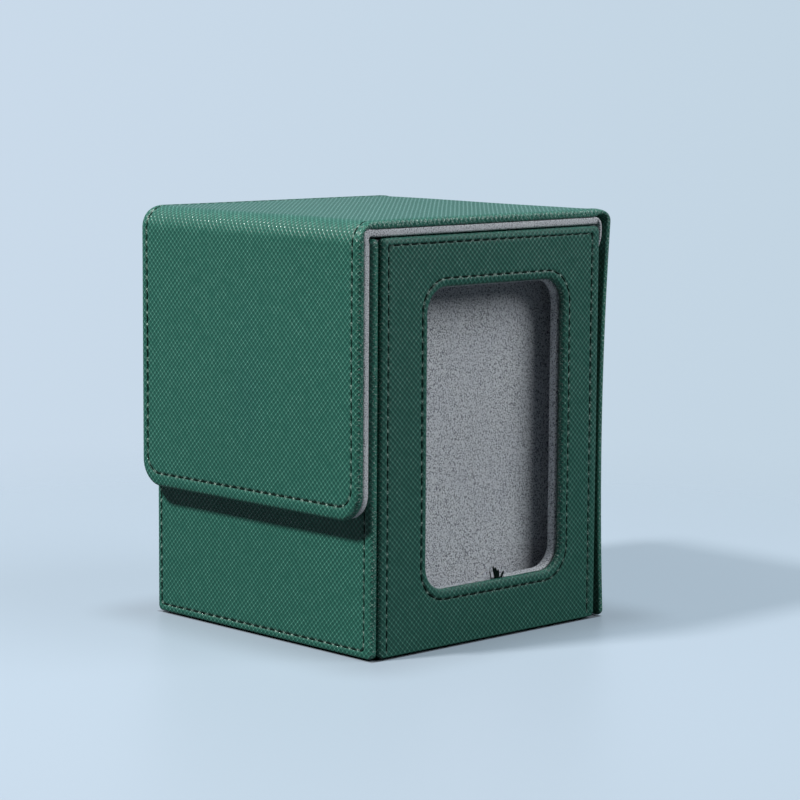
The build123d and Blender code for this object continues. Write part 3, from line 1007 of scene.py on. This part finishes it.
# Table and surroundings: a pale satin table top that fades into a pale room, with the lit backdrop behind
# the box and a dimmer studio on the other sides.
table_colour = (0.255, 0.292, 0.340, 1)
table_dim = (0.110, 0.128, 0.145, 1)        # painted shade for every ray but the camera's: most of the table is out of the lamps' reach
table_glow = (0.248, 0.319, 0.381, 1)       # backdrop light that the table takes on, for the camera alone
table_radius = 900.0
table_level = -0.45        # a hair below the walls' foot, which leaves the thin dark line under them
table_mesh = (24, 97)      # points out from the middle and round
table_fade = (0.34, 0.10)  # metres from the middle where it has gone, and where it is whole
foot_shade = 0.62          # painted shade: share of the table's glow kept right beside the box, and none under it
foot_reach = 0.022         # metres in which that shade ends
room_light = (0.588, 0.701, 0.822, 1)       # backdrop from its left to its right end
room_dusk = (0.543, 0.662, 0.767, 1)
room_across = (0.691, 0.723, 0.0)           # way from the left end to the right
room_half = 0.146                           # half the backdrop, along that way
backdrop_way = (-0.71, 0.70, 0.0)
backdrop_edge = (0.1, 0.7)                  # along that way, from the studio to the backdrop
backdrop_shine = 0.80
studio_dimness = 0.10

ring_radius = np.linspace(table_radius, 0, table_mesh[0])[:, None]
ring_angle = np.linspace(0, 2 * np.pi, table_mesh[1])
rings = np.stack([ring_radius * np.cos(ring_angle), ring_radius * np.sin(ring_angle)], -1)
foot_front, foot_back, foot_right = reach("front_cover")[0][1], back_high[1], reach("window_cover")[1][0]
foot_middle = (0, (foot_front + foot_back) / 2000, 0)
foot_half = (foot_right / 1000, (foot_back - foot_front) / 2000, 1)

satin, tree, shader = finish_of("pale_table", Roughness=0.42, Specular_IOR_Level=0.25,
                                Emission_Color=table_glow)
place = place_in(tree)
fade = ramp(tree, vector(tree, "LENGTH", place)["Value"], *table_fade, interpolation_type="SMOOTHSTEP")
watched = wire(tree, "LightPath", {}).outputs["Is Camera Ray"]
beside = vector(tree, "ABSOLUTE", vector(tree, "SUBTRACT", place, foot_middle)[0])[0]
beside = vector(tree, "MAXIMUM", vector(tree, "SUBTRACT", beside, foot_half)[0], (0, 0, 0))[0]
beside = vector(tree, "LENGTH", beside)["Value"]
# painted shade on the table round the box's foot and under it
painted_foot_shade = ramp(tree, beside, 0.0, foot_reach, foot_shade, interpolation_type="SMOOTHSTEP")
uncovered = figure(tree, "GREATER_THAN", beside, 0.0)
glow = figure(tree, "MULTIPLY", figure(tree, "MULTIPLY", painted_foot_shade, uncovered), watched)
colour = tint(tree, watched, table_dim, table_colour)
feed(tree, shader, Alpha=fade, Base_Color=colour, Emission_Strength=glow)
skin("table", [grid_of(rings, table_level)], lay_straight, satin)

room = bpy.data.worlds.new("pale_room")
bpy.context.scene.world = room
room.use_nodes = True
tree = room.node_tree
ray = wire(tree, "LightPath", {}).outputs
way = wire(tree, "TexCoord", {}).outputs["Generated"]
toward = vector(tree, "DOT_PRODUCT", way, backdrop_way)["Value"]
shine = ramp(tree, toward, *backdrop_edge, studio_dimness, backdrop_shine, interpolation_type="SMOOTHSTEP")
seen = figure(tree, "MULTIPLY", ray["Is Glossy Ray"], shine)
for kind in ("Is Transmission Ray", "Is Camera Ray"):
    seen = figure(tree, "MAXIMUM", seen, ray[kind])
across = ramp(tree, vector(tree, "DOT_PRODUCT", way, room_across)["Value"], -room_half, room_half)
feed(tree, tree.nodes["Background"], Color=tint(tree, across, room_light, room_dusk), Strength=seen)


# Lamps: a small softbox high in front gives the light and the cast shadow, and a wide one to the right
# lights the window side and the pocket behind it. Both are aimed at the box's middle.
lamp_aim = Vector((0, 0, 0.04))
lamps = (("key_lamp", (-0.164, -0.656, 0.857), 0.13, 13.0, (1.0, 0.99, 0.97)),
         ("fill_lamp", (0.64, 0.35, 0.70), 0.75, 5.6, (0.95, 0.98, 1.0)))
for name, spot, size, power, colour in lamps:
    lamp = bpy.data.lights.new(name, "AREA")
    lamp.shape = "DISK"
    lamp.size = size
    lamp.energy = power
    lamp.color = colour
    holder = bpy.data.objects.new(name, lamp)
    holder.location = spot
    holder.rotation_mode = "QUATERNION"
    holder.rotation_quaternion = (lamp_aim - holder.location).to_track_quat("-Z", "Y")
    holder.visible_camera = False
    bpy.context.scene.collection.objects.link(holder)


# Camera: the photograph's own viewpoint, a long lens a little above the box and off its near corner,
# turned by a hair about its own axis.
picture_width = 800
focal_pixels = 2718.2
sensor_width = 36
nearest = 0.01
camera_spot = np.array([500.2, -469.2, 143.8]) / 1000
azimuth, elevation, tilt = np.radians([46.276, 7.362, -0.380])

level = np.array([np.cos(azimuth), np.sin(azimuth), 0])
ahead = np.array([-np.sin(azimuth), np.cos(azimuth), 0])
forward = ahead * np.cos(elevation) - np.array([0, 0, np.sin(elevation)])
down = np.cross(forward, level)
right = np.cos(tilt) * level + np.sin(tilt) * down
down = np.cos(tilt) * down - np.sin(tilt) * level
pose = np.eye(4)
pose[:3, :3] = np.stack([right, -down, -forward], 1)
pose[:3, 3] = camera_spot
view = bpy.data.cameras.new("camera")
view.sensor_width = sensor_width
view.lens = focal_pixels / picture_width * sensor_width
view.clip_start = nearest
camera = bpy.data.objects.new("camera", view)
camera.matrix_world = Matrix(pose.tolist())
bpy.context.scene.collection.objects.link(camera)
bpy.context.scene.camera = camera
bpy.context.scene.view_settings.view_transform = "Standard"
